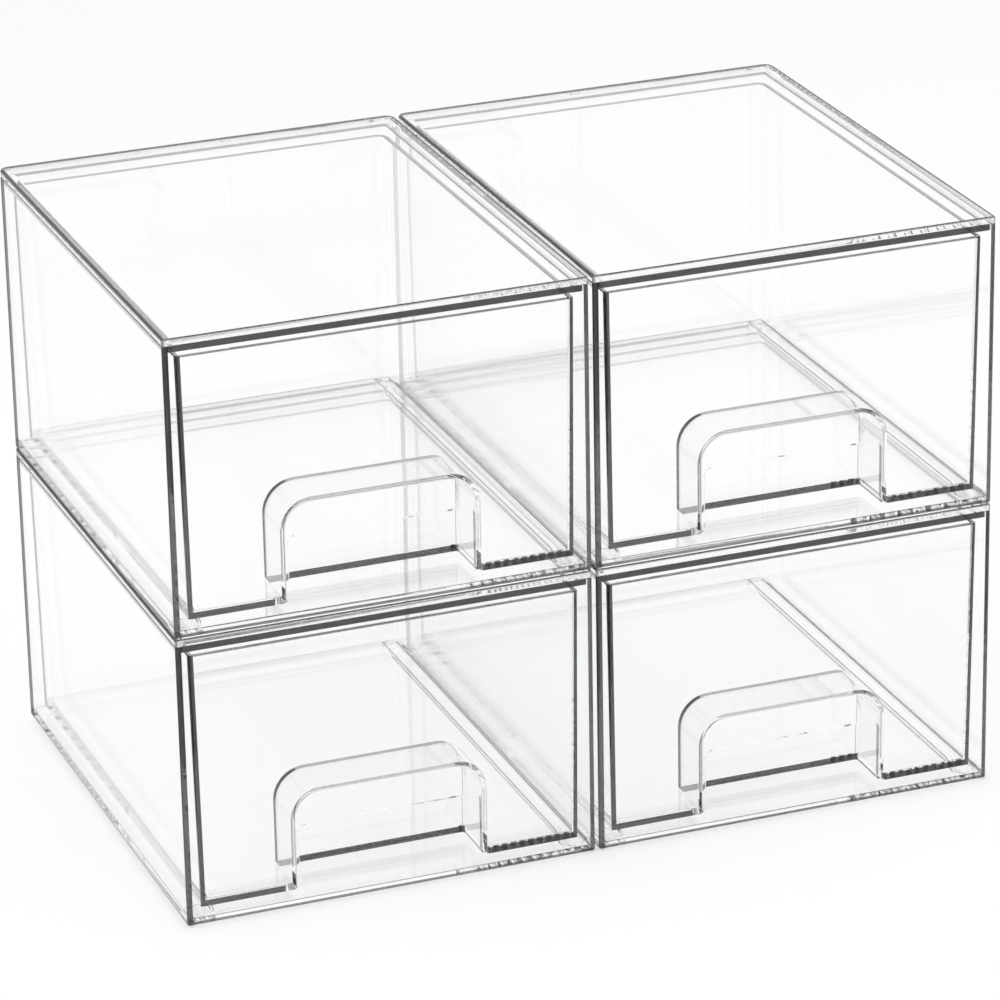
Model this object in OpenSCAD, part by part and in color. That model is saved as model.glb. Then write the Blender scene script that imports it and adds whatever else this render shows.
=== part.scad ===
// Clear stackable drawer units, two high and two wide.
// Each unit is an open-fronted case with a fixed top cover, a sliding drawer with a
// recessed finger pull, and a round non-slip pad under each corner.
// Millimetres, +Z up, drawer fronts towards -Y, origin in the middle of the footprint on the table.

/* [Unit] */
// Width of one unit
unit_w = 157; // [140:1:200]
// Depth of one unit, front to back
unit_d = 202; // [180:1:240]
// Height of one unit, from the one below it to its own top face
unit_h = 112; // [90:1:130]
// Gap between the two stacks
stack_gap = 1.6; // [0.6:0.2:10]

/* [Case] */
// Thickness of the side walls and the back wall
case_wall = 2; // [1.6:0.1:2.6]
// Thickness of the case floor
case_floor = 3; // [2.4:0.1:4]
// Rounding of the upright edges at the front
front_edge_r = 1; // [0.5:0.25:2.5]
// Rounding of the upright corners at the back
back_corner_r = 4; // [3:0.5:6]
// Height of the two runner rails on the floor
rail_h = 2.2; // [2:0.1:4]
// Width of a runner rail
rail_w = 2.5; // [2:0.1:4]
// Distance from the side of the case to the middle of a rail
rail_inset = 11; // [9:0.5:16]
// Length of the ramp at the front of a rail, which lifts the drawer as it goes in
rail_ramp = 8; // [5:1:15]

/* [Top cover] */
// Thickness of the cover plate
cover_t = 2.7; // [2:0.1:3.5]
// Height of the locating rim under the plate
rim_h = 2.4; // [1.5:0.1:2.5]
// Thickness of the locating rim
rim_t = 2; // [1.5:0.1:3]

/* [Drawer] */
// Gap from the side of the case to the drawer's top edge
drawer_side_inset = 4.85; // [4:0.05:6]
// Gap from the front of the case to the drawer's top edge
drawer_front_inset = 1.5; // [1.2:0.1:3]
// Gap from the back of the case to the drawer's top edge
drawer_back_inset = 5.2; // [4:0.1:8]
// Gap from the top of the unit to the drawer's top edge
drawer_top_gap = 7.5; // [6.5:0.1:12]
// How far each wall leans out from the bottom to the top
drawer_lean = 1.1; // [0.5:0.1:2]
// Thickness of the drawer walls
drawer_wall = 1.8; // [1.2:0.1:2]
// Thickness of the drawer floor
drawer_floor = 2.4; // [1.4:0.1:3]
// Rounding of the drawer's upright corners at the front
drawer_front_r = 0.6; // [0.5:0.1:2]
// Rounding of the drawer's upright corners at the back
drawer_back_r = 3; // [2.2:0.1:4]

/* [Finger pull] */
// Width of the pocket
pull_w = 75; // [50:1:90]
// Depth of the pocket, from the drawer's front face
pull_d = 22.5; // [14:0.5:26]
// Height of the pocket above the drawer's bottom
pull_h = 38.8; // [32:0.2:44]
// Rounding of the pocket's upper corners
pull_corner_r = 12; // [8:0.5:14]
// Thickness of the pocket walls
pull_wall = 1.6; // [1.2:0.1:2.2]
// Width of the opening under the lip
lip_w = 70; // [44:1:84]
// Height of the opening under the lip, above the drawer's bottom
lip_h = 25.2; // [18:0.2:27]
// Rounding of the opening's upper corners
lip_corner_r = 3; // [2:0.5:6]

/* [Pads] */
// Diameter of a non-slip pad
pad_d = 9.4; // [7:0.2:10]
// Thickness of a pad
pad_t = 1.5; // [1.2:0.1:1.6]
// How far a pad stands out below the case
pad_stand = 0.5; // [0.4:0.1:0.8]
// Distance from a pad's middle to the side and the front of the case
pad_inset = 7; // [6:0.25:9]

/* [Hidden] */
$fn = 64;
// Overlap that makes cuts and joints clean
over = 1;
// Clearance between the cover's rim and the case walls, and round a pad in its recess
snug = 0.1;
// Gap between the drawer and the rails that it rests on
glide = 0.2;
// How far the rim's front bar sits behind the front of the case
rim_front_inset = 0.3;
// How far the rails stop short of the front and the back wall
rail_end_gap = 3;
// Least rounding of a corner inside the drawer
least_r = 0.3;

case_top = unit_h - cover_t;
floor_top = pad_stand + case_floor;
drawer_z = floor_top + rail_h + glide;
drawer_h = unit_h - drawer_top_gap - drawer_z;
drawer_w = unit_w - 2 * (drawer_side_inset + drawer_lean);
drawer_d = unit_d - drawer_front_inset - drawer_back_inset - 2 * drawer_lean;
drawer_y = (drawer_front_inset - drawer_back_inset) / 2;
drawer_front = -drawer_d / 2;

// Units: name, side of the stack, level
UNITS = [
    ["lower_left", -1, 0],
    ["lower_right", 1, 0],
    ["upper_left", -1, 1],
    ["upper_right", 1, 1]
];
// Corners of a case: name, side, front or back
CORNERS = [
    ["front_left", -1, -1],
    ["front_right", 1, -1],
    ["back_left", -1, 1],
    ["back_right", 1, 1]
];

function node_name(unit, piece) = str(unit[0], "_", piece);
function pad_name(unit, corner) = str(unit[0], "_pad_", corner[0]);

// Plan of a box of size [w, d]: its front corners have radius rf, its back corners rb
module rounded_plan(w, d, rf, rb) {
    translate([-w / 2, -d / 2 + rf]) square([w, d - rf - rb]);
    translate([-w / 2 + rf, -d / 2]) square([w - 2 * rf, rf + over]);
    translate([-w / 2 + rb, d / 2 - rb - over]) square([w - 2 * rb, rb + over]);
    for (side = [-1, 1]) {
        translate([side * (w / 2 - rf), -d / 2 + rf]) circle(rf);
        translate([side * (w / 2 - rb), d / 2 - rb]) circle(rb);
    }
}

// Doorway outline of width w and height h, standing on z = 0, with rounded upper corners.
// It lies in the XZ plane, runs from y0 to y1 and reaches down to z = -below.
module doorway(w, h, r, y0, y1, below = 0) {
    translate([0, y1, 0]) rotate([90, 0, 0]) linear_extrude(y1 - y0) {
        translate([-w / 2, -below]) square([w, h - r + below]);
        translate([-w / 2 + r, h - r - over]) square([w - 2 * r, r + over]);
        for (side = [-1, 1])
            translate([side * (w / 2 - r), h - r]) circle(r);
    }
}

// Box from z0 to z1 whose walls lean out towards the top like the drawer's outside,
// drawn in by inset on every side. Its upright corners are cones, small ones at the front.
module leaning_box(z0, z1, inset = 0) {
    lean0 = drawer_lean * z0 / drawer_h;
    lean1 = drawer_lean * z1 / drawer_h;
    half_w = drawer_w / 2 - inset;
    half_d = drawer_d / 2 - inset;
    front_r = max(drawer_front_r - inset, least_r);
    back_r = max(drawer_back_r - inset, least_r);
    translate([0, half_d - back_r, 0]) rotate([90, 0, 0])
        linear_extrude(2 * half_d - front_r - back_r)
            polygon([
                [-half_w - lean0, z0], [half_w + lean0, z0],
                [half_w + lean1, z1], [-half_w - lean1, z1]
            ]);
    for (end = [[-1, front_r], [1, back_r]]) {
        rotate([90, 0, 90]) linear_extrude(2 * (half_w - end[1]), center = true)
            polygon([
                [0, z0], [end[0] * (half_d + lean0), z0],
                [end[0] * (half_d + lean1), z1], [0, z1]
            ]);
        for (side = [-1, 1])
            translate([side * (half_w - end[1]), end[0] * (half_d - end[1]), z0])
                cylinder(h = z1 - z0, r1 = end[1] + lean0, r2 = end[1] + lean1);
    }
}

// Runner rail along the floor of the case, in its place to the right of the middle.
// It starts with a ramp at the front.
module rail() {
    front = -unit_d / 2 + rail_end_gap;
    back = unit_d / 2 - case_wall - rail_end_gap;
    translate([unit_w / 2 - rail_inset, 0, 0])
        rotate([90, 0, 90]) linear_extrude(rail_w, center = true)
            polygon([
                [front, floor_top - over], [back, floor_top - over],
                [back, floor_top + rail_h], [front + rail_ramp, floor_top + rail_h],
                [front, floor_top]
            ]);
}

// Open-fronted, open-topped case with two runner rails and a recess for each pad
module case_body() {
    color([0.93, 0.96, 0.96, 0.35]) {
        difference() {
            translate([0, 0, pad_stand])
                linear_extrude(case_top - pad_stand)
                    rounded_plan(unit_w, unit_d, front_edge_r, back_corner_r);
            translate([0, -case_wall / 2 - over / 2, floor_top])
                linear_extrude(unit_h)
                    rounded_plan(
                        unit_w - 2 * case_wall, unit_d - case_wall + over,
                        over / 2, back_corner_r - case_wall
                    );
            for (corner = CORNERS)
                place_at(corner) cylinder(h = pad_t, d = pad_d + 2 * snug);
        }
        rail();
        mirror([1, 0, 0]) rail();
    }
}

// Flat cover plate with a locating rim that drops between the case walls
module cover() {
    rim_w = unit_w - 2 * (case_wall + snug);
    rim_d = unit_d - rim_front_inset - case_wall - snug;
    rim_y = (rim_front_inset - case_wall - snug) / 2;
    rim_r = back_corner_r - case_wall;
    color([0.95, 0.97, 0.97, 0.35]) {
        translate([0, 0, case_top])
            linear_extrude(cover_t)
                rounded_plan(unit_w, unit_d, front_edge_r, back_corner_r);
        translate([0, rim_y, case_top - rim_h])
            difference() {
                linear_extrude(rim_h + over / 2)
                    rounded_plan(rim_w, rim_d, rim_r, rim_r);
                translate([0, 0, -over])
                    linear_extrude(rim_h + 3 * over)
                        square([rim_w - 2 * rim_t, rim_d - 2 * rim_t], center = true);
            }
    }
}

// Drawer with leaning walls and a pocket in its front that the fingers reach up into
module drawer() {
    color([0.95, 0.97, 0.97, 0.35])
        translate([0, drawer_y, drawer_z])
            difference() {
                union() {
                    difference() {
                        leaning_box(0, drawer_h);
                        leaning_box(drawer_floor, drawer_h + over, drawer_wall);
                    }
                    intersection() {
                        leaning_box(0, drawer_h);
                        doorway(pull_w, pull_h, pull_corner_r, drawer_front - 2, drawer_front + pull_d);
                    }
                }
                doorway(
                    pull_w - 2 * pull_wall, pull_h - pull_wall, pull_corner_r - pull_wall,
                    drawer_front + drawer_wall, drawer_front + pull_d - pull_wall, over
                );
                doorway(
                    lip_w, lip_h, lip_corner_r,
                    drawer_front - 2, drawer_front + drawer_wall + over, over
                );
            }
}

// Round non-slip pad
module pad() {
    color([0.85, 0.87, 0.87, 0.8])
        cylinder(h = pad_t, d = pad_d);
}

// Moves a piece from the middle of a case to one of its corners
module place_at(corner) {
    translate([
        corner[1] * (unit_w / 2 - pad_inset),
        corner[2] * (unit_d / 2 - pad_inset),
        0
    ]) children();
}

// Moves a piece from the middle of the table to its unit's place in the stacks
module place_in(unit) {
    translate([unit[1] * (unit_w + stack_gap) / 2, 0, unit[2] * unit_h]) children();
}

for (unit = UNITS) {
    place_in(unit) case_body();
    place_in(unit) cover();
    place_in(unit) drawer();
    for (corner = CORNERS)
        place_in(unit) place_at(corner) pad();
}
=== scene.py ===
# Clear stackable drawer units, two high and two wide, on a pale studio floor.
# Lengths are in millimetres until a mesh is made, and the front of the units faces -Y.
import math

import bmesh
import bpy
import numpy as np
from mathutils import Matrix, Vector


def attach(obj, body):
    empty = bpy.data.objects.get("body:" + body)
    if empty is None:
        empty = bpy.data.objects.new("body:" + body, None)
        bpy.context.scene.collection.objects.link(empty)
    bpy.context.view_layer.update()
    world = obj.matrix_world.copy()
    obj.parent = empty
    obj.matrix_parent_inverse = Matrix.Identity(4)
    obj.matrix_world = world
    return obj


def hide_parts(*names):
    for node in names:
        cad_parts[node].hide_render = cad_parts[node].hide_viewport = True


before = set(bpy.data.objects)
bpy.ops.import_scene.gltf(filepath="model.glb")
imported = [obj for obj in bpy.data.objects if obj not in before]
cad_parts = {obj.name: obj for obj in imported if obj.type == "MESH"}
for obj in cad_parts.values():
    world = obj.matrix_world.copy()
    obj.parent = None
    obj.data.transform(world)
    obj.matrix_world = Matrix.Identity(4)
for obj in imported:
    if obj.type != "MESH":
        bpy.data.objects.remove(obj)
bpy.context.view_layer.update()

# ---------------------------------------------------------------------------------------
# Studio: a long lens from the front left and above, a white sweep of floor, and a room
# that is white where the lens looks and grey overhead, as for a catalogue shot of glass.
# ---------------------------------------------------------------------------------------
MM = 0.001
LENS_PLACE = Vector((-0.64058, -1.70266, 0.84397))
LENS_RIGHT = Vector((0.93273054, -0.36012548, -0.01798272))
LENS_DOWN = Vector((-0.15167016, -0.34660521, -0.92566787))
LENS_AHEAD = Vector((0.32712367, 0.86612613, -0.37790956))
LENS_LENGTH = 187.96
SENSOR_WIDTH = 36.0

camera_data = bpy.data.cameras.new("studio_lens")
camera_data.lens = LENS_LENGTH
camera_data.sensor_width = SENSOR_WIDTH
camera_data.clip_end = 100
camera = bpy.data.objects.new("studio_lens", camera_data)
bpy.context.collection.objects.link(camera)
turn = Matrix((LENS_RIGHT, -LENS_DOWN, -LENS_AHEAD)).transposed()
camera.matrix_world = Matrix.Translation(LENS_PLACE) @ turn.to_4x4()
bpy.context.scene.camera = camera


class Wire:
    """A value on its way through a shader. An operator used on it adds the Math node."""

    def __init__(self, finish, socket):
        self.finish = finish
        self.socket = socket

    def maths(self, operation, first, second):
        return self.finish.add(
            "ShaderNodeMath", {"operation": operation}, {0: first, 1: second}
        )

    def __add__(self, other):
        return self.maths("ADD", self, other)

    def __sub__(self, other):
        return self.maths("SUBTRACT", self, other)

    def __rsub__(self, other):
        return self.maths("SUBTRACT", other, self)

    def __mul__(self, other):
        return self.maths("MULTIPLY", self, other)

    def at_most(self, other):
        return self.maths("MINIMUM", self, other)

    __radd__ = __add__
    __rmul__ = __mul__


class Finish:
    """The node tree of a material or of the world, written node by node."""

    def __init__(self, owner):
        owner.use_nodes = True
        self.tree = owner.node_tree
        self.tree.nodes.clear()

    def add(self, kind, settings=None, sockets=None, out=0):
        """Adds a node: its settings first, then each socket's value or link. Gives output out."""
        node = self.tree.nodes.new(kind)
        for name, value in (settings or {}).items():
            setattr(node, name, value)
        for name, value in (sockets or {}).items():
            if isinstance(value, Wire):
                self.tree.links.new(value.socket, node.inputs[name])
            else:
                node.inputs[name].default_value = value
        return Wire(self, node.outputs[out]) if node.outputs else None

    def rays(self, *kinds):
        """1 for rays of the named kinds and 0 for all others."""
        path = self.add("ShaderNodeLightPath").socket.node
        return sum(Wire(self, path.outputs[f"Is {kind} Ray"]) for kind in kinds).at_most(1.0)

    def ramp(self, value, start, end, low=0.0, high=1.0, shape="SMOOTHSTEP"):
        """A number that goes from low to high as value goes from start to end."""
        return self.add(
            "ShaderNodeMapRange", {"interpolation_type": shape},
            {0: value, 1: start, 2: end, 3: low, 4: high},
        )

    def blend(self, share, first, second):
        """Colour that goes from first to second as share goes from 0 to 1."""
        return self.add(
            "ShaderNodeMix", {"data_type": "RGBA"}, {0: share, 6: first, 7: second}, out=2
        )


AIM = Vector((0, 0, 0.1))


def soft_lamp(name, place, size, power):
    """A square soft box at place, size metres wide, aimed at the middle of the units."""
    lamp_data = bpy.data.lights.new(name, "AREA")
    lamp_data.size = size
    lamp_data.energy = power
    lamp = bpy.data.objects.new(name, lamp_data)
    bpy.context.collection.objects.link(lamp)
    lamp.location = place
    lamp.rotation_euler = (AIM - place).to_track_quat("-Z", "Y").to_euler()


soft_lamp("key_soft_box", place=Vector((-1.2, -0.8, 2.2)), size=1.6, power=13)
soft_lamp("fill_soft_box", place=Vector((1.6, -0.4, 1.8)), size=1.6, power=6)

ROOM_LIGHT, ROOM_GREY = 0.78, 0.3
WHITE_UP_TO, GREY_FROM = 0.5, 0.75
bpy.context.scene.world = bpy.data.worlds.new("studio_room")
room = Finish(bpy.context.scene.world)
upward = room.add(
    "ShaderNodeSeparateXYZ", None, {0: room.add("ShaderNodeTexCoord")}, out=2
)
# The room is white when looked at. What the plastic mirrors and bends shows its grey ceiling,
# and as a light it has one even strength.
ceiling = room.ramp(upward, WHITE_UP_TO, GREY_FROM, low=1.0, high=ROOM_GREY)
direct, by_plastic = room.rays("Camera"), room.rays("Glossy", "Transmission")
strength = direct + (1 - direct) * (by_plastic * ceiling + (1 - by_plastic) * ROOM_LIGHT)
room.add("ShaderNodeOutputWorld", None, {
    0: room.add("ShaderNodeBackground", None, {0: (1, 1, 1, 1), 1: strength}),
})

# Looked at, also by way of the plastic, the paper glows by FLOOR_LIFT. It lights no matt face
# by that.
FLOOR_SIZE = 14.0
FLOOR_COLOUR = (0.92, 0.92, 0.92, 1)
FLOOR_LIFT = 0.12
floor_mesh = bpy.data.meshes.new("studio_floor")
half = FLOOR_SIZE / 2
floor_mesh.from_pydata(
    [(-half, -half, 0), (half, -half, 0), (half, half, 0), (-half, half, 0)], [], [(0, 1, 2, 3)]
)
floor = bpy.data.objects.new("studio_floor", floor_mesh)
bpy.context.collection.objects.link(floor)
floor_mesh.materials.append(bpy.data.materials.new("white_paper_sweep"))
paper = Finish(floor_mesh.materials[0])
lift = paper.rays("Camera", "Glossy", "Transmission") * FLOOR_LIFT
paper.add("ShaderNodeOutputMaterial", None, {
    0: paper.add("ShaderNodeAddShader", None, {
        0: paper.add("ShaderNodeBsdfDiffuse", None, {0: FLOOR_COLOUR}),
        1: paper.add("ShaderNodeEmission", None, {1: lift}),
    }),
})

cycles = bpy.context.scene.cycles
cycles.max_bounces = 64
cycles.transmission_bounces = 32
cycles.glossy_bounces = 48
cycles.transparent_max_bounces = 32
bpy.context.scene.view_settings.view_transform = "Standard"

# ---------------------------------------------------------------------------------------
# Case: an open-fronted, open-topped box moulded in one shot of clear acrylic, with two
# runner rails on its floor and a round recess under each corner for a pad.
# ---------------------------------------------------------------------------------------
UNIT_W, UNIT_D, UNIT_H = 157.0, 202.0, 112.0
STACK_GAP = 1.6
UNITS = {  # side of the middle, level in the stack
    "lower_left": (-1, 0),
    "lower_right": (1, 0),
    "upper_left": (-1, 1),
    "upper_right": (1, 1),
}
CORNERS = {  # side, front or back
    "front_left": (-1, -1),
    "front_right": (1, -1),
    "back_left": (-1, 1),
    "back_right": (1, 1),
}
CASE_WALL = 2.0
CASE_BOTTOM = 0.5
CASE_FLOOR = 3.5
CASE_TOP = 109.25
FRONT_EDGE_R, BACK_CORNER_R, LEAST_R = 1.0, 4.0, 0.3
FOOT_R, CASE_TOP_R, WALL_FILLET, MOUTH_R = 0.7, 0.3, 1.2, 0.5
RAIL_H, RAIL_W, RAIL_INSET, RAIL_END, RAIL_RAMP, RAIL_EDGE_R = 2.2, 2.5, 11.0, 3.0, 8.0, 0.5
RAIL_NOSE, RAIL_ROOT = 0.1, 1.0
PAD_D, PAD_T, PAD_INSET, PAD_SLACK = 9.4, 1.5, 7.0, 0.1
CUT_PAST, CUT_UNDER = 5.0, 1.0
MERGE, ON_PLANE = 0.0005, 0.0001
CREASE = 40


def quarter(radius, steps=5):
    """How far a rounded edge has drawn in (first) at each depth (second), a quarter circle."""
    angle = np.linspace(0, math.pi / 2, steps + 1)
    return radius * (1 - np.sin(angle)), radius * (1 - np.cos(angle))


def rounded_rings(half_w, y_front, y_back, r_front, r_back, level, steps=8):
    """Rings in plan, one for each entry of the arrays: straight sides joined by quarter
    circles of radius r_front at the front and r_back at the back, at height level."""
    angle = np.linspace(0, math.pi / 2, steps + 1)
    rings = []
    corners = (
        (-1, y_front, r_front, 1, math.pi),
        (1, y_front, r_front, 1, 1.5 * math.pi),
        (1, y_back, r_back, -1, 0.0),
        (-1, y_back, r_back, -1, 0.5 * math.pi),
    )
    for side, end, radius, inward, start in corners:
        x = (side * (half_w - radius))[:, None] + radius[:, None] * np.cos(start + angle)
        y = (end + inward * radius)[:, None] + radius[:, None] * np.sin(start + angle)
        rings.append(np.stack([x, y, np.broadcast_to(level[:, None], x.shape)], axis=-1))
    return np.concatenate(rings, axis=1)


def made_whole(mesh):
    """Merges a closed mesh's doubles, drops what has no area and turns its faces outwards."""
    work = bmesh.new()
    work.from_mesh(mesh)
    bmesh.ops.remove_doubles(work, verts=work.verts, dist=MERGE * MM)
    bmesh.ops.dissolve_degenerate(work, edges=work.edges, dist=MERGE * MM)
    bmesh.ops.recalc_face_normals(work, faces=work.faces)
    work.to_mesh(mesh)
    work.free()


def skin(name, rings):
    """Mesh object from rings of points, an array of stations by points by xyz: each pair of
    neighbouring rings is joined by quads, and the first and last ring are closed by a face."""
    stations, around = rings.shape[:2]
    index = np.arange(stations * around).reshape(stations, around)
    ahead = np.roll(index, -1, axis=1)
    quads = np.stack([index[:-1], ahead[:-1], ahead[1:], index[1:]], axis=-1).reshape(-1, 4)
    mesh = bpy.data.meshes.new(name)
    mesh.from_pydata(
        (rings.reshape(-1, 3) * MM).tolist(),
        [],
        quads.tolist() + [index[0, ::-1].tolist(), index[-1].tolist()],
    )
    made_whole(mesh)
    piece = bpy.data.objects.new(name, mesh)
    bpy.context.collection.objects.link(piece)
    return piece


def settle(piece, steps=()):
    """Applies Boolean steps, each an operation and the other solid, and shades the rounded
    parts smooth, with the large flat faces ruling the normals that they share."""
    for operation, other in steps:
        cut = piece.modifiers.new("cut", "BOOLEAN")
        cut.operation = operation
        cut.object = other
        cut.solver = "EXACT"
    view = bpy.context.evaluated_depsgraph_get()
    piece.data = bpy.data.meshes.new_from_object(piece.evaluated_get(view))
    piece.modifiers.clear()
    for _, other in steps:
        bpy.data.objects.remove(other)
    made_whole(piece.data)
    piece.data.shade_smooth()
    piece.data.set_sharp_from_angle(angle=math.radians(CREASE))
    facing = piece.modifiers.new("facing", "WEIGHTED_NORMAL")
    facing.weight = 100
    facing.keep_sharp = True


def score(piece, planes):
    """Splits the faces along planes, each a point and a normal in millimetres, so that a
    strip of a face can have its own painted shade."""
    work = bmesh.new()
    work.from_mesh(piece.data)
    for point, normal in planes:
        parts = work.verts[:] + work.edges[:] + work.faces[:]
        bmesh.ops.bisect_plane(
            work, geom=parts, dist=ON_PLANE * MM,
            plane_co=Vector(point) * MM, plane_no=Vector(normal),
        )
    work.to_mesh(piece.data)
    work.free()


def shares(*pairs):
    """For each face a number: that of the first pair, a mask and a number, whose mask has it,
    or else 0."""
    masks, numbers = zip(*pairs)
    return np.select(masks, numbers, 0.0)


def paint_edge_shade(piece, tone_of):
    """Stores each face's painted edge shade, 0 to 1: first a share at any angle, second
    one that grows as the face turns away. tone_of gets, for all faces at once, their middles
    in millimetres and their normals."""
    faces = piece.data.polygons
    middle, normal = np.empty((2, len(faces) * 3))
    faces.foreach_get("center", middle)
    faces.foreach_get("normal", normal)
    middle, normal = middle.reshape(-1, 3) / MM, normal.reshape(-1, 3)
    for name, value in zip(("painted_edge_shade", "painted_limb_shade"), tone_of(middle, normal)):
        tone = piece.data.attributes.new(name, "FLOAT", "FACE")
        tone.data.foreach_set("value", value.astype(np.float32))


def place_in(unit, pattern, name):
    """Copy of a piece moved to its unit's place in the stacks. Each point also keeps where
    it is in its own unit, in millimetres, so that a finish lies alike on all four."""
    side, level = UNITS[unit]
    shift = np.array((side * (UNIT_W + STACK_GAP) / 2, 0, level * UNIT_H)) * MM
    piece = pattern.copy()
    piece.data = pattern.data.copy()
    piece.name = piece.data.name = name
    bpy.context.collection.objects.link(piece)
    count = len(piece.data.vertices)
    points = np.empty(count * 3)
    piece.data.vertices.foreach_get("co", points)
    points = points.reshape(-1, 3)
    own = piece.data.attributes.new("in_unit", "FLOAT_VECTOR", "POINT")
    own.data.foreach_set("vector", (points / MM).ravel())
    piece.data.vertices.foreach_set("co", (points + shift).ravel())
    piece.data.update()
    return piece


def rounded_block(name, half_w, y_front, y_back, r_front, r_back, profile):
    """Solid with rounded upright edges. A row of profile says how far the outline is drawn
    in, how far at the front in a column of its own if that differs, and at what level."""
    draw_in, front_in, level = profile[:, 0], profile[:, -2], profile[:, -1]
    return skin(name, rounded_rings(
        half_w - draw_in,
        y_front + front_in,
        y_back - draw_in,
        np.maximum(r_front - front_in, LEAST_R),
        np.maximum(r_back - draw_in, LEAST_R),
        level,
    ))


def lower_edge(level, radius, steps=5):
    """Profile rows, going up, of the rounded lower edge of a solid that starts at level."""
    draw_in, depth = quarter(radius, steps)
    return np.stack([draw_in, level + depth], axis=1)


def upper_edge(level, radius, steps=5):
    """Profile rows, going up, of the rounded upper edge of a solid that ends at level."""
    return lower_edge(-level, radius, steps)[::-1] * (1, -1)


case_pattern = rounded_block(
    "case_pattern", UNIT_W / 2, -UNIT_D / 2, UNIT_D / 2, FRONT_EDGE_R, BACK_CORNER_R,
    np.concatenate([lower_edge(CASE_BOTTOM, FOOT_R), upper_edge(CASE_TOP, CASE_TOP_R)]),
)
cavity = rounded_block(
    "case_cavity", UNIT_W / 2 - CASE_WALL, -UNIT_D / 2 - CUT_PAST, UNIT_D / 2 - CASE_WALL,
    MOUTH_R, BACK_CORNER_R - CASE_WALL,
    np.concatenate([lower_edge(CASE_FLOOR, WALL_FILLET), [(0, UNIT_H + CUT_PAST)]]),
)
rail_y = np.array((RAIL_END, RAIL_END + RAIL_RAMP, UNIT_D - CASE_WALL - RAIL_END)) - UNIT_D / 2
rail_top = CASE_FLOOR + np.array((-RAIL_NOSE, RAIL_H, RAIL_H))
shoulder, fall = quarter(RAIL_EDGE_R, 3)
rail_x = np.concatenate([RAIL_W / 2 - shoulder[::-1], shoulder - RAIL_W / 2])
rail_fall = np.concatenate([fall[::-1], fall])
rails = []
for side in (-1, 1):
    section_x = side * (UNIT_W / 2 - RAIL_INSET) + np.concatenate([
        [-RAIL_W / 2, RAIL_W / 2], rail_x
    ])
    section_z = np.concatenate([
        np.full((3, 2), CASE_FLOOR - RAIL_ROOT), rail_top[:, None] - rail_fall
    ], axis=1)
    rails.append(("UNION", skin("runner_rail", np.stack([
        np.broadcast_to(section_x, section_z.shape),
        np.broadcast_to(rail_y[:, None], section_z.shape),
        section_z,
    ], axis=-1))))
around = np.linspace(0, 2 * math.pi, 64, endpoint=False)
circle = np.stack([np.cos(around), np.sin(around), 0 * around], axis=-1)
levels = np.array((-CUT_UNDER, PAD_T))[:, None, None] * np.array((0, 0, 1))
recesses = []
for side, end in CORNERS.values():
    middle = np.array((side * (UNIT_W / 2 - PAD_INSET), end * (UNIT_D / 2 - PAD_INSET), 0))
    recess = skin("recess", (PAD_D / 2 + PAD_SLACK) * circle + middle + levels)
    recesses.append(("DIFFERENCE", recess))
settle(case_pattern, [("DIFFERENCE", cavity)] + rails + recesses)

FOOT_STRIP, FLOOR_ARRIS, UPRIGHT_STRIP = 1.4, 0.4, 4.0
score(case_pattern, [
    ((0, 0, CASE_BOTTOM + FOOT_STRIP), (0, 0, 1)),
    ((0, 0, CASE_FLOOR - FLOOR_ARRIS), (0, 0, 1)),
    ((0, UNIT_D / 2 - BACK_CORNER_R - UPRIGHT_STRIP, 0), (0, 1, 0)),
    *(((side * (UNIT_W / 2 - CASE_WALL), 0, 0), (1, 0, 0)) for side in (-1, 1)),
])


# The painted edge shades copy one view, the photo's, so some lie on one side of a piece
# only; they stand in for the dark lines that refraction shows there. A face is taken in when
# its middle is less than NEAR past an edge, and how much of its normal lies along an axis
# tells whether it is flat, halfway or just leaning that way.
NEAR = 1.0
FLAT, HALFWAY, LEANING = 0.985, 0.5, 0.3


def case_painted_shade(middle, normal):
    """Painted shade on the edges: the walls' front ends are dark. The foot's edge, the floor's
    front edge and the upright where the back wall is seen edge-on, on the left, are less so."""
    x, y, z = middle.T
    outside = (np.abs(x) > UNIT_W / 2 - CASE_WALL) | (np.abs(y) > UNIT_D / 2 - CASE_WALL)
    front = (y < NEAR - UNIT_D / 2) & (normal[:, 1] < LEANING)
    wall_end = front & (np.abs(x) > UNIT_W / 2 - CASE_WALL)
    behind = y > UNIT_D / 2 - BACK_CORNER_R - UPRIGHT_STRIP
    foot = outside & ~behind & (z < CASE_BOTTOM + FOOT_STRIP) & (normal[:, 2] > -FLAT)
    floor_arris = front & (z < CASE_FLOOR + NEAR) & (z > CASE_FLOOR - FLOOR_ARRIS)
    upright = behind & (x < 2 * CASE_WALL - UNIT_W / 2) & (normal[:, 0] < -LEANING)
    painted_shade = shares((wall_end, 0.86), (foot, 0.75), (floor_arris, 0.6))
    return painted_shade, shares((upright, 0.7))


paint_edge_shade(case_pattern, case_painted_shade)

CLEAR = (0.997, 0.9985, 0.998, 1)
# The dark that edges are painted with: painted shade, standing in for the dark lines that
# refraction shows on them.
PAINTED_EDGE_DARK = (0.001, 0.0016, 0.0015, 1)
LAMP_CLEAR = (0.992, 0.993, 0.993, 1)
EDGE_SHADE = (0.3, 0.31, 0.31, 1)
ACRYLIC_IOR = 1.49


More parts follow.
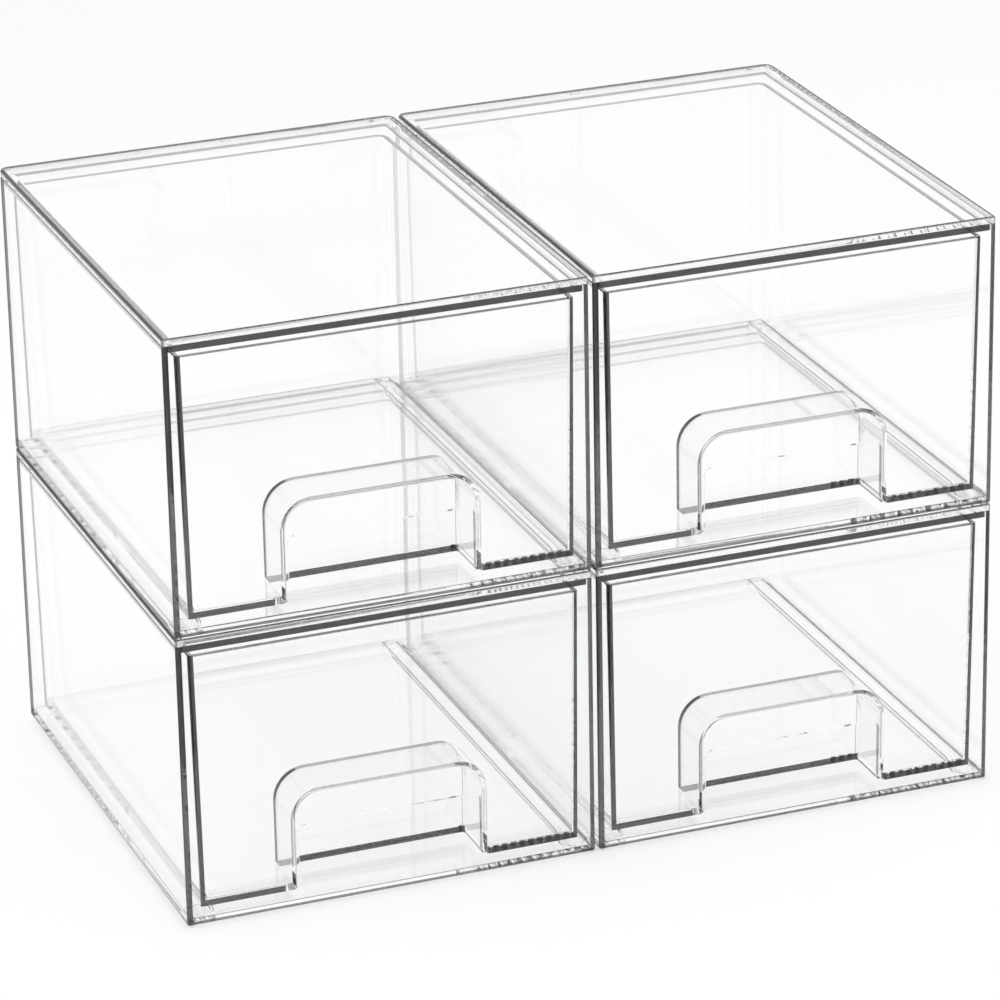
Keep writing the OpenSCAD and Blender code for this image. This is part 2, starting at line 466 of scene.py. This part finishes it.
def clear_plastic(name):
    """Clear moulded acrylic: refracts, holds back a little light at each face, is painted dark on
    its edges as shade, more so where a face turns away, and has rubbed specks in its gloss. The
    rays that carry lamp light to the floor pass straight through."""
    material = bpy.data.materials.new(name)
    finish = Finish(material)
    in_unit = finish.add("ShaderNodeAttribute", {"attribute_name": "in_unit"}, out=1)
    # Each face's painted edge shade, and the painted shade that grows as it turns away from the
    # view.
    painted_shade, limb = (
        finish.add("ShaderNodeAttribute", {"attribute_name": tone}, out=2)
        for tone in ("painted_edge_shade", "painted_limb_shade")
    )
    facing_away = finish.add("ShaderNodeLayerWeight", None, {0: 0.5}, out=1)
    turned = finish.ramp(facing_away, start=0.15, end=0.45)
    unshaded = 1 - painted_shade
    specks = finish.add(
        "ShaderNodeTexNoise", None, {"Vector": in_unit, "Scale": 1.3, "Detail": 1.0}
    )
    # The base colour is painted dark by the edge shade.
    plastic = finish.add("ShaderNodeBsdfPrincipled", None, {
        "Base Color": finish.blend(unshaded * unshaded, PAINTED_EDGE_DARK, CLEAR),
        "Roughness": finish.ramp(specks, start=0.55, end=0.75, high=0.04, shape="LINEAR"),
        "IOR": ACRYLIC_IOR,
        "Transmission Weight": 1.0,
    })
    # Faces that turn away get a dark matt finish mixed in: painted shade.
    edged = finish.add("ShaderNodeMixShader", None, {
        0: limb * turned,
        1: plastic,
        2: finish.add("ShaderNodeBsdfDiffuse", None, {0: PAINTED_EDGE_DARK}),
    })
    lit_through = finish.add("ShaderNodeMixShader", None, {
        0: painted_shade,
        1: finish.add("ShaderNodeBsdfTransparent", None, {0: LAMP_CLEAR}),
        2: finish.add("ShaderNodeBsdfTransparent", None, {0: EDGE_SHADE}),
    })
    finish.add("ShaderNodeOutputMaterial", None, {
        0: finish.add("ShaderNodeMixShader", None, {
            0: finish.rays("Shadow", "Diffuse"), 1: edged, 2: lit_through,
        }),
    })
    return material


case_clear = clear_plastic("case_clear_acrylic")
for unit in UNITS:
    case = place_in(unit, case_pattern, unit + "_clear_case")
    case.data.materials.append(case_clear)
    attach(case, unit + "_unit")
    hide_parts(unit + "_case")
bpy.data.objects.remove(case_pattern)

# ---------------------------------------------------------------------------------------
# Top cover: a flat plate of the same clear acrylic, joined to the top of the case. A rim
# on its underside drops between the case walls and locates it.
# ---------------------------------------------------------------------------------------
COVER_BOTTOM = 109.3
TOP_EDGE_R, LOW_EDGE_R = 0.7, 0.25
RIM_H, RIM_T = 2.4, 2.0
RIM_GAP, RIM_FRONT = 0.1, 0.3

side_in = CASE_WALL + RIM_GAP
cover_profile = np.concatenate([
    # draw-in at the sides and back, draw-in at the front, level
    [
        (side_in + RIM_T, RIM_FRONT + RIM_T, COVER_BOTTOM),
        (side_in + RIM_T, RIM_FRONT + RIM_T, COVER_BOTTOM - RIM_H),
        (side_in, RIM_FRONT, COVER_BOTTOM - RIM_H),
        (side_in, RIM_FRONT, COVER_BOTTOM),
    ],
    lower_edge(COVER_BOTTOM, LOW_EDGE_R, 3)[:, (0, 0, 1)],
    upper_edge(UNIT_H, TOP_EDGE_R)[:, (0, 0, 1)],
])
cover_pattern = rounded_block(
    "cover_pattern", UNIT_W / 2, -UNIT_D / 2, UNIT_D / 2, FRONT_EDGE_R, BACK_CORNER_R,
    cover_profile,
)
settle(cover_pattern)

BACK_STRIP, SIDE_STRIP, RIM_FOOT = 3.0, 1.3, 1.1
score(cover_pattern, [
    ((0, UNIT_D / 2 - BACK_STRIP, 0), (0, 1, 0)),
    *(((side * (UNIT_W / 2 - SIDE_STRIP), 0, 0), (1, 0, 0)) for side in (-1, 1)),
    ((0, 0, COVER_BOTTOM - RIM_H + RIM_FOOT), (0, 0, 1)),
])


def cover_painted_shade(middle, normal):
    """Painted shade on the edges: the front of the rim is darkest. The foot of the rim, on its
    inside, is dark too, and so are the strips of the plate's top in which the thickness of its
    sides and back shows."""
    x, y, z = middle.T
    rounded = np.abs(normal).max(axis=1) < FLAT
    front = y < NEAR - UNIT_D / 2
    upright = np.abs(normal[:, 2]) < FLAT
    rim = upright & (z < COVER_BOTTOM)
    rim_foot = rim & (z < COVER_BOTTOM - RIM_H + RIM_FOOT) & (y > NEAR + RIM_T - UNIT_D / 2)
    plate_edge = upright & rounded & (z > COVER_BOTTOM)
    top_strip = ~front & (z > UNIT_H - TOP_EDGE_R) & (
        (np.abs(x) > UNIT_W / 2 - SIDE_STRIP) | (y > UNIT_D / 2 - BACK_STRIP)
    )
    painted_shade = shares(
        (rim & front & (normal[:, 1] < -LEANING), 0.95),
        (rim_foot & (normal[:, 0] * x < 0), 0.9),
        (rim_foot & (normal[:, 1] * y < 0), 0.75),
        (plate_edge & front & (z > COVER_BOTTOM + NEAR), 0.6),
        (top_strip, 0.87),
        (plate_edge & (z < COVER_BOTTOM + 2 * LOW_EDGE_R), 0.4),
    )
    return painted_shade, 0 * painted_shade


paint_edge_shade(cover_pattern, cover_painted_shade)
cover_clear = clear_plastic("cover_clear_acrylic")
for unit in UNITS:
    cover = place_in(unit, cover_pattern, unit + "_clear_cover")
    cover.data.materials.append(cover_clear)
    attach(cover, unit + "_unit")
    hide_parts(unit + "_cover")
bpy.data.objects.remove(cover_pattern)

# ---------------------------------------------------------------------------------------
# Drawer: a clear acrylic tray with leaning walls and a filleted floor. The pocket in its
# front is moulded in: the fingers go under the lip and reach up behind the front wall.
# ---------------------------------------------------------------------------------------
DRAWER_Z, DRAWER_H = 5.9, 98.6
DRAWER_W, DRAWER_D, DRAWER_Y = 145.1, 193.1, -1.85
DRAWER_WALL, DRAWER_FLOOR, DRAWER_LEAN = 1.8, 2.4, 1.1
DRAWER_FRONT_R, DRAWER_BACK_R, DRAWER_EDGE_R = 0.6, 3.0, 0.25
DRAWER_FRONT = DRAWER_Y - DRAWER_D / 2
BRIM_R, FLOOR_FILLET = 0.4, 0.4
PULL_W, PULL_D, PULL_H, PULL_R, PULL_WALL = 75.0, 22.5, 38.8, 12.0, 1.6
PULL_BACK_R, VOID_FRONT_R, VOID_BACK_R, PULL_ROOT, PULL_FOOT = 1.8, 0.6, 1.0, 0.7, 0.3
LIP_W, LIP_H, LIP_R, LIP_FLARE = 70.0, 25.2, 3.0, 3.0
CUT_AHEAD, CUT_BEHIND = 2.0, 0.2

# The section of a wall: up its outside, over the brim, and down its inside to the floor.
brim = upper_edge(DRAWER_H, BRIM_R)
wall_section = np.concatenate([
    lower_edge(0, DRAWER_EDGE_R),
    brim,
    brim[::-1] * (-1, 1) + (DRAWER_WALL, 0),
    lower_edge(DRAWER_FLOOR, FLOOR_FILLET, 8)[::-1] + (DRAWER_WALL, 0),
])
drawn, raised = wall_section.T
drawer_pattern = rounded_block(
    "drawer_pattern", DRAWER_W / 2, DRAWER_FRONT, DRAWER_FRONT + DRAWER_D,
    DRAWER_FRONT_R, DRAWER_BACK_R,
    np.stack([drawn - DRAWER_LEAN * raised / DRAWER_H, DRAWER_Z + raised], axis=1),
)


def doorway(name, section, foot, steps=16):
    """Solid in the shape of the finger pocket, with a flat foot, upright sides and rounded
    upper corners. A row of section says how far that outline is drawn in and how deep behind
    the drawer's front. foot is the level of its foot above the drawer's underside."""
    drawn, depth = section[:, :1], section[:, 1:]
    angle = np.linspace(0, math.pi / 2, steps + 1)
    radius = PULL_R - drawn
    side, top = PULL_W / 2 - PULL_R, PULL_H - PULL_R
    x = np.concatenate([
        drawn - PULL_W / 2, PULL_W / 2 - drawn,
        side + radius * np.cos(angle),
        -side - radius * np.sin(angle),
    ], axis=1)
    z = np.concatenate([
        foot + 0 * drawn, foot + 0 * drawn,
        top + radius * np.sin(angle),
        top + radius * np.cos(angle),
    ], axis=1)
    return skin(name, np.stack([x, DRAWER_FRONT + depth + 0 * x, DRAWER_Z + z], axis=-1))


block = doorway("pull_block", foot=PULL_FOOT, section=np.concatenate([
    [(0, PULL_ROOT)], upper_edge(PULL_D, PULL_BACK_R)
]))
void = doorway("pull_void", foot=-CUT_UNDER, section=(PULL_WALL, 0) + np.concatenate([
    lower_edge(DRAWER_WALL, VOID_FRONT_R), upper_edge(PULL_D - PULL_WALL, VOID_BACK_R)
]))
flare_in, flare_up = quarter(LIP_FLARE, 8)
turn_up, turn_in = quarter(LIP_R, 8)
right_half = np.concatenate([
    [(LIP_W / 2 + LIP_FLARE, -CUT_UNDER)],
    np.stack([LIP_W / 2 + flare_in, flare_up], axis=1),
    np.stack([LIP_W / 2 - turn_in, LIP_H - turn_up], axis=1),
])
outline = np.concatenate([right_half, (right_half * (-1, 1))[::-1]])
lip_y = DRAWER_FRONT + np.array((-CUT_AHEAD, DRAWER_WALL + CUT_BEHIND))
lip = skin("pull_lip", np.stack([
    np.broadcast_to(outline[:, 0], (2, len(outline))),
    np.broadcast_to(lip_y[:, None], (2, len(outline))),
    np.broadcast_to(DRAWER_Z + outline[:, 1], (2, len(outline))),
], axis=-1))
settle(drawer_pattern, [("UNION", block), ("DIFFERENCE", void), ("DIFFERENCE", lip)])

FLOOR_STRIP, MOUTH_EDGE, BAND_END, DARK_TURN = 2.5, 0.8, 3.0, 7.5
PULL_FRONT_STRIP, PULL_BACK_STRIP, BACK_POST = 1.5, 3.5, 2.5
score(drawer_pattern, [
    ((0, 0, DRAWER_Z + FLOOR_STRIP), (0, 0, 1)),
    ((0, 0, DRAWER_Z + MOUTH_EDGE), (0, 0, 1)),
    ((-PULL_W / 2 - BAND_END, 0, 0), (1, 0, 0)),
    # The first of these depths has no painted shade of its own. It keeps the soft shading of the
    # pocket's front edge off its long walls.
    *(
        ((0, DRAWER_FRONT + depth, 0), (0, 1, 0))
        for depth in (
            DRAWER_WALL + PULL_FRONT_STRIP,
            PULL_D - PULL_BACK_STRIP,
            DRAWER_D - DRAWER_BACK_R - BACK_POST,
        )
    ),
    *(
        ((side * (DRAWER_W / 2 - DRAWER_WALL), 0, DRAWER_Z), (side, 0, -DRAWER_LEAN / DRAWER_H))
        for side in (-1, 1)
    ),
    *(((side * PULL_W / 2, 0, 0), (1, 0, 0)) for side in (-1, 1)),
])


def drawer_painted_shade(middle, normal):
    """Painted shade on the edges: seen from the front, the thickness of the side walls and of
    the floor is dark, and so is the right turn of the pocket's back. The lip's cut edge, the brim
    and the rest of the pocket's edges are less dark."""
    x, y, z = middle.T
    turned_x, turned_y = normal[:, 0], normal[:, 1]
    depth, height = y - DRAWER_FRONT, z - DRAWER_Z
    in_front, forward = depth < NEAR, turned_y < -HALFWAY
    wall = DRAWER_W / 2 - DRAWER_WALL + DRAWER_LEAN * height / DRAWER_H
    wall_strip = forward & in_front & (np.abs(x) > wall)
    behind_front = (depth > DRAWER_WALL) & (depth < PULL_D)
    beside_pull = (x > PULL_W / 2) | (x < -PULL_W / 2 - BAND_END)
    floor_strip = forward & (height < FLOOR_STRIP) & ((in_front & beside_pull) | behind_front)
    sideways = np.abs(turned_y) < HALFWAY
    lip_edge = sideways & (depth < DRAWER_WALL) & (
        (np.abs(x) < LIP_W / 2 + NEAR) & (height < LIP_H + NEAR)
    )
    mouth_edge = behind_front & (height < MOUTH_EDGE) & (
        (np.abs(x) < PULL_W / 2) & (np.abs(turned_x) > HALFWAY)
    )
    pocket = (depth > DRAWER_WALL) & (depth < PULL_D + NEAR) & (
        (np.abs(x) < PULL_W / 2 + NEAR) & (height > FLOOR_STRIP)
    )
    outward = turned_x * x + normal[:, 2] * (height - PULL_H / 2) > NEAR
    pocket_back = pocket & outward & (depth > PULL_D - PULL_BACK_STRIP)
    dark_turn = pocket_back & (turned_y > LEANING) & (
        (x > PULL_W / 2 - DARK_TURN) & (height > PULL_H - DARK_TURN)
    )
    behind = depth > DRAWER_D - DRAWER_BACK_R - BACK_POST
    back_left = behind & (x < 0) & (turned_x < -LEANING)
    left_side, top_side = (pocket_back & (turned_x < most) for most in (-LEANING, LEANING))
    painted_shade = shares(
        (wall_strip | floor_strip | dark_turn, 0.9),
        (lip_edge | mouth_edge | (height > DRAWER_H - BRIM_R), 0.65),
        (left_side, 0.7),
        (top_side, 0.45),
        (pocket & sideways, 0.02),
    )
    return painted_shade, shares((back_left | dark_turn, 0.85), (left_side, 0.5), (top_side, 0.2))


paint_edge_shade(drawer_pattern, drawer_painted_shade)
drawer_clear = clear_plastic("drawer_clear_acrylic")
for unit in UNITS:
    drawer = place_in(unit, drawer_pattern, unit + "_clear_drawer")
    drawer.data.materials.append(drawer_clear)
    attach(drawer, unit + "_drawer")
    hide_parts(unit + "_drawer")
bpy.data.objects.remove(drawer_pattern)

# ---------------------------------------------------------------------------------------
# Pads: round cushions of soft milky rubber, pressed into the recesses under the case.
# ---------------------------------------------------------------------------------------
pad_profile = np.array([
    # radius, level
    (1.2, 0.02), (2.8, 0.05), (4.1, 0.14), (4.5, 0.3), (4.7, 0.6), (4.7, 1.3), (4.55, 1.45),
])
radius, level = pad_profile[:, :1], pad_profile[:, 1:]
around = np.linspace(0, 2 * math.pi, 48, endpoint=False)
pad_pattern = skin("pad_pattern", np.stack([
    radius * np.cos(around), radius * np.sin(around), level + 0 * around
], axis=-1))
settle(pad_pattern)
milky_rubber = bpy.data.materials.new("pad_milky_rubber")
rubber = Finish(milky_rubber)
grain = rubber.add("ShaderNodeTexNoise", None, {
    "Vector": rubber.add("ShaderNodeAttribute", {"attribute_name": "in_unit"}, out=1),
    "Scale": 4.0, "Detail": 3.0,
})
soft = rubber.add("ShaderNodeBsdfPrincipled", None, {
    "Base Color": rubber.blend(grain, (0.95, 0.96, 0.96, 1), (0.99, 0.993, 0.993, 1)),
    "Roughness": 0.02 + grain * 0.04,
    "IOR": 1.41,
    "Transmission Weight": 0.98,
    "Normal": rubber.add("ShaderNodeBump", None, {
        "Strength": 0.2, "Distance": 0.0001, "Height": grain,
    }),
})
rubber.add("ShaderNodeOutputMaterial", None, {
    0: rubber.add("ShaderNodeMixShader", None, {
        0: rubber.rays("Shadow", "Diffuse"),
        1: soft,
        2: rubber.add("ShaderNodeBsdfTransparent", None, {0: LAMP_CLEAR}),
    }),
})
for unit in UNITS:
    for corner, (side, end) in CORNERS.items():
        pad = place_in(unit, pad_pattern, f"{unit}_soft_pad_{corner}")
        shift = Vector((side * (UNIT_W / 2 - PAD_INSET), end * (UNIT_D / 2 - PAD_INSET), 0)) * MM
        pad.data.transform(Matrix.Translation(shift))
        pad.data.materials.append(milky_rubber)
        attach(pad, unit + "_unit")
        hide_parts(f"{unit}_pad_{corner}")
bpy.data.objects.remove(pad_pattern)
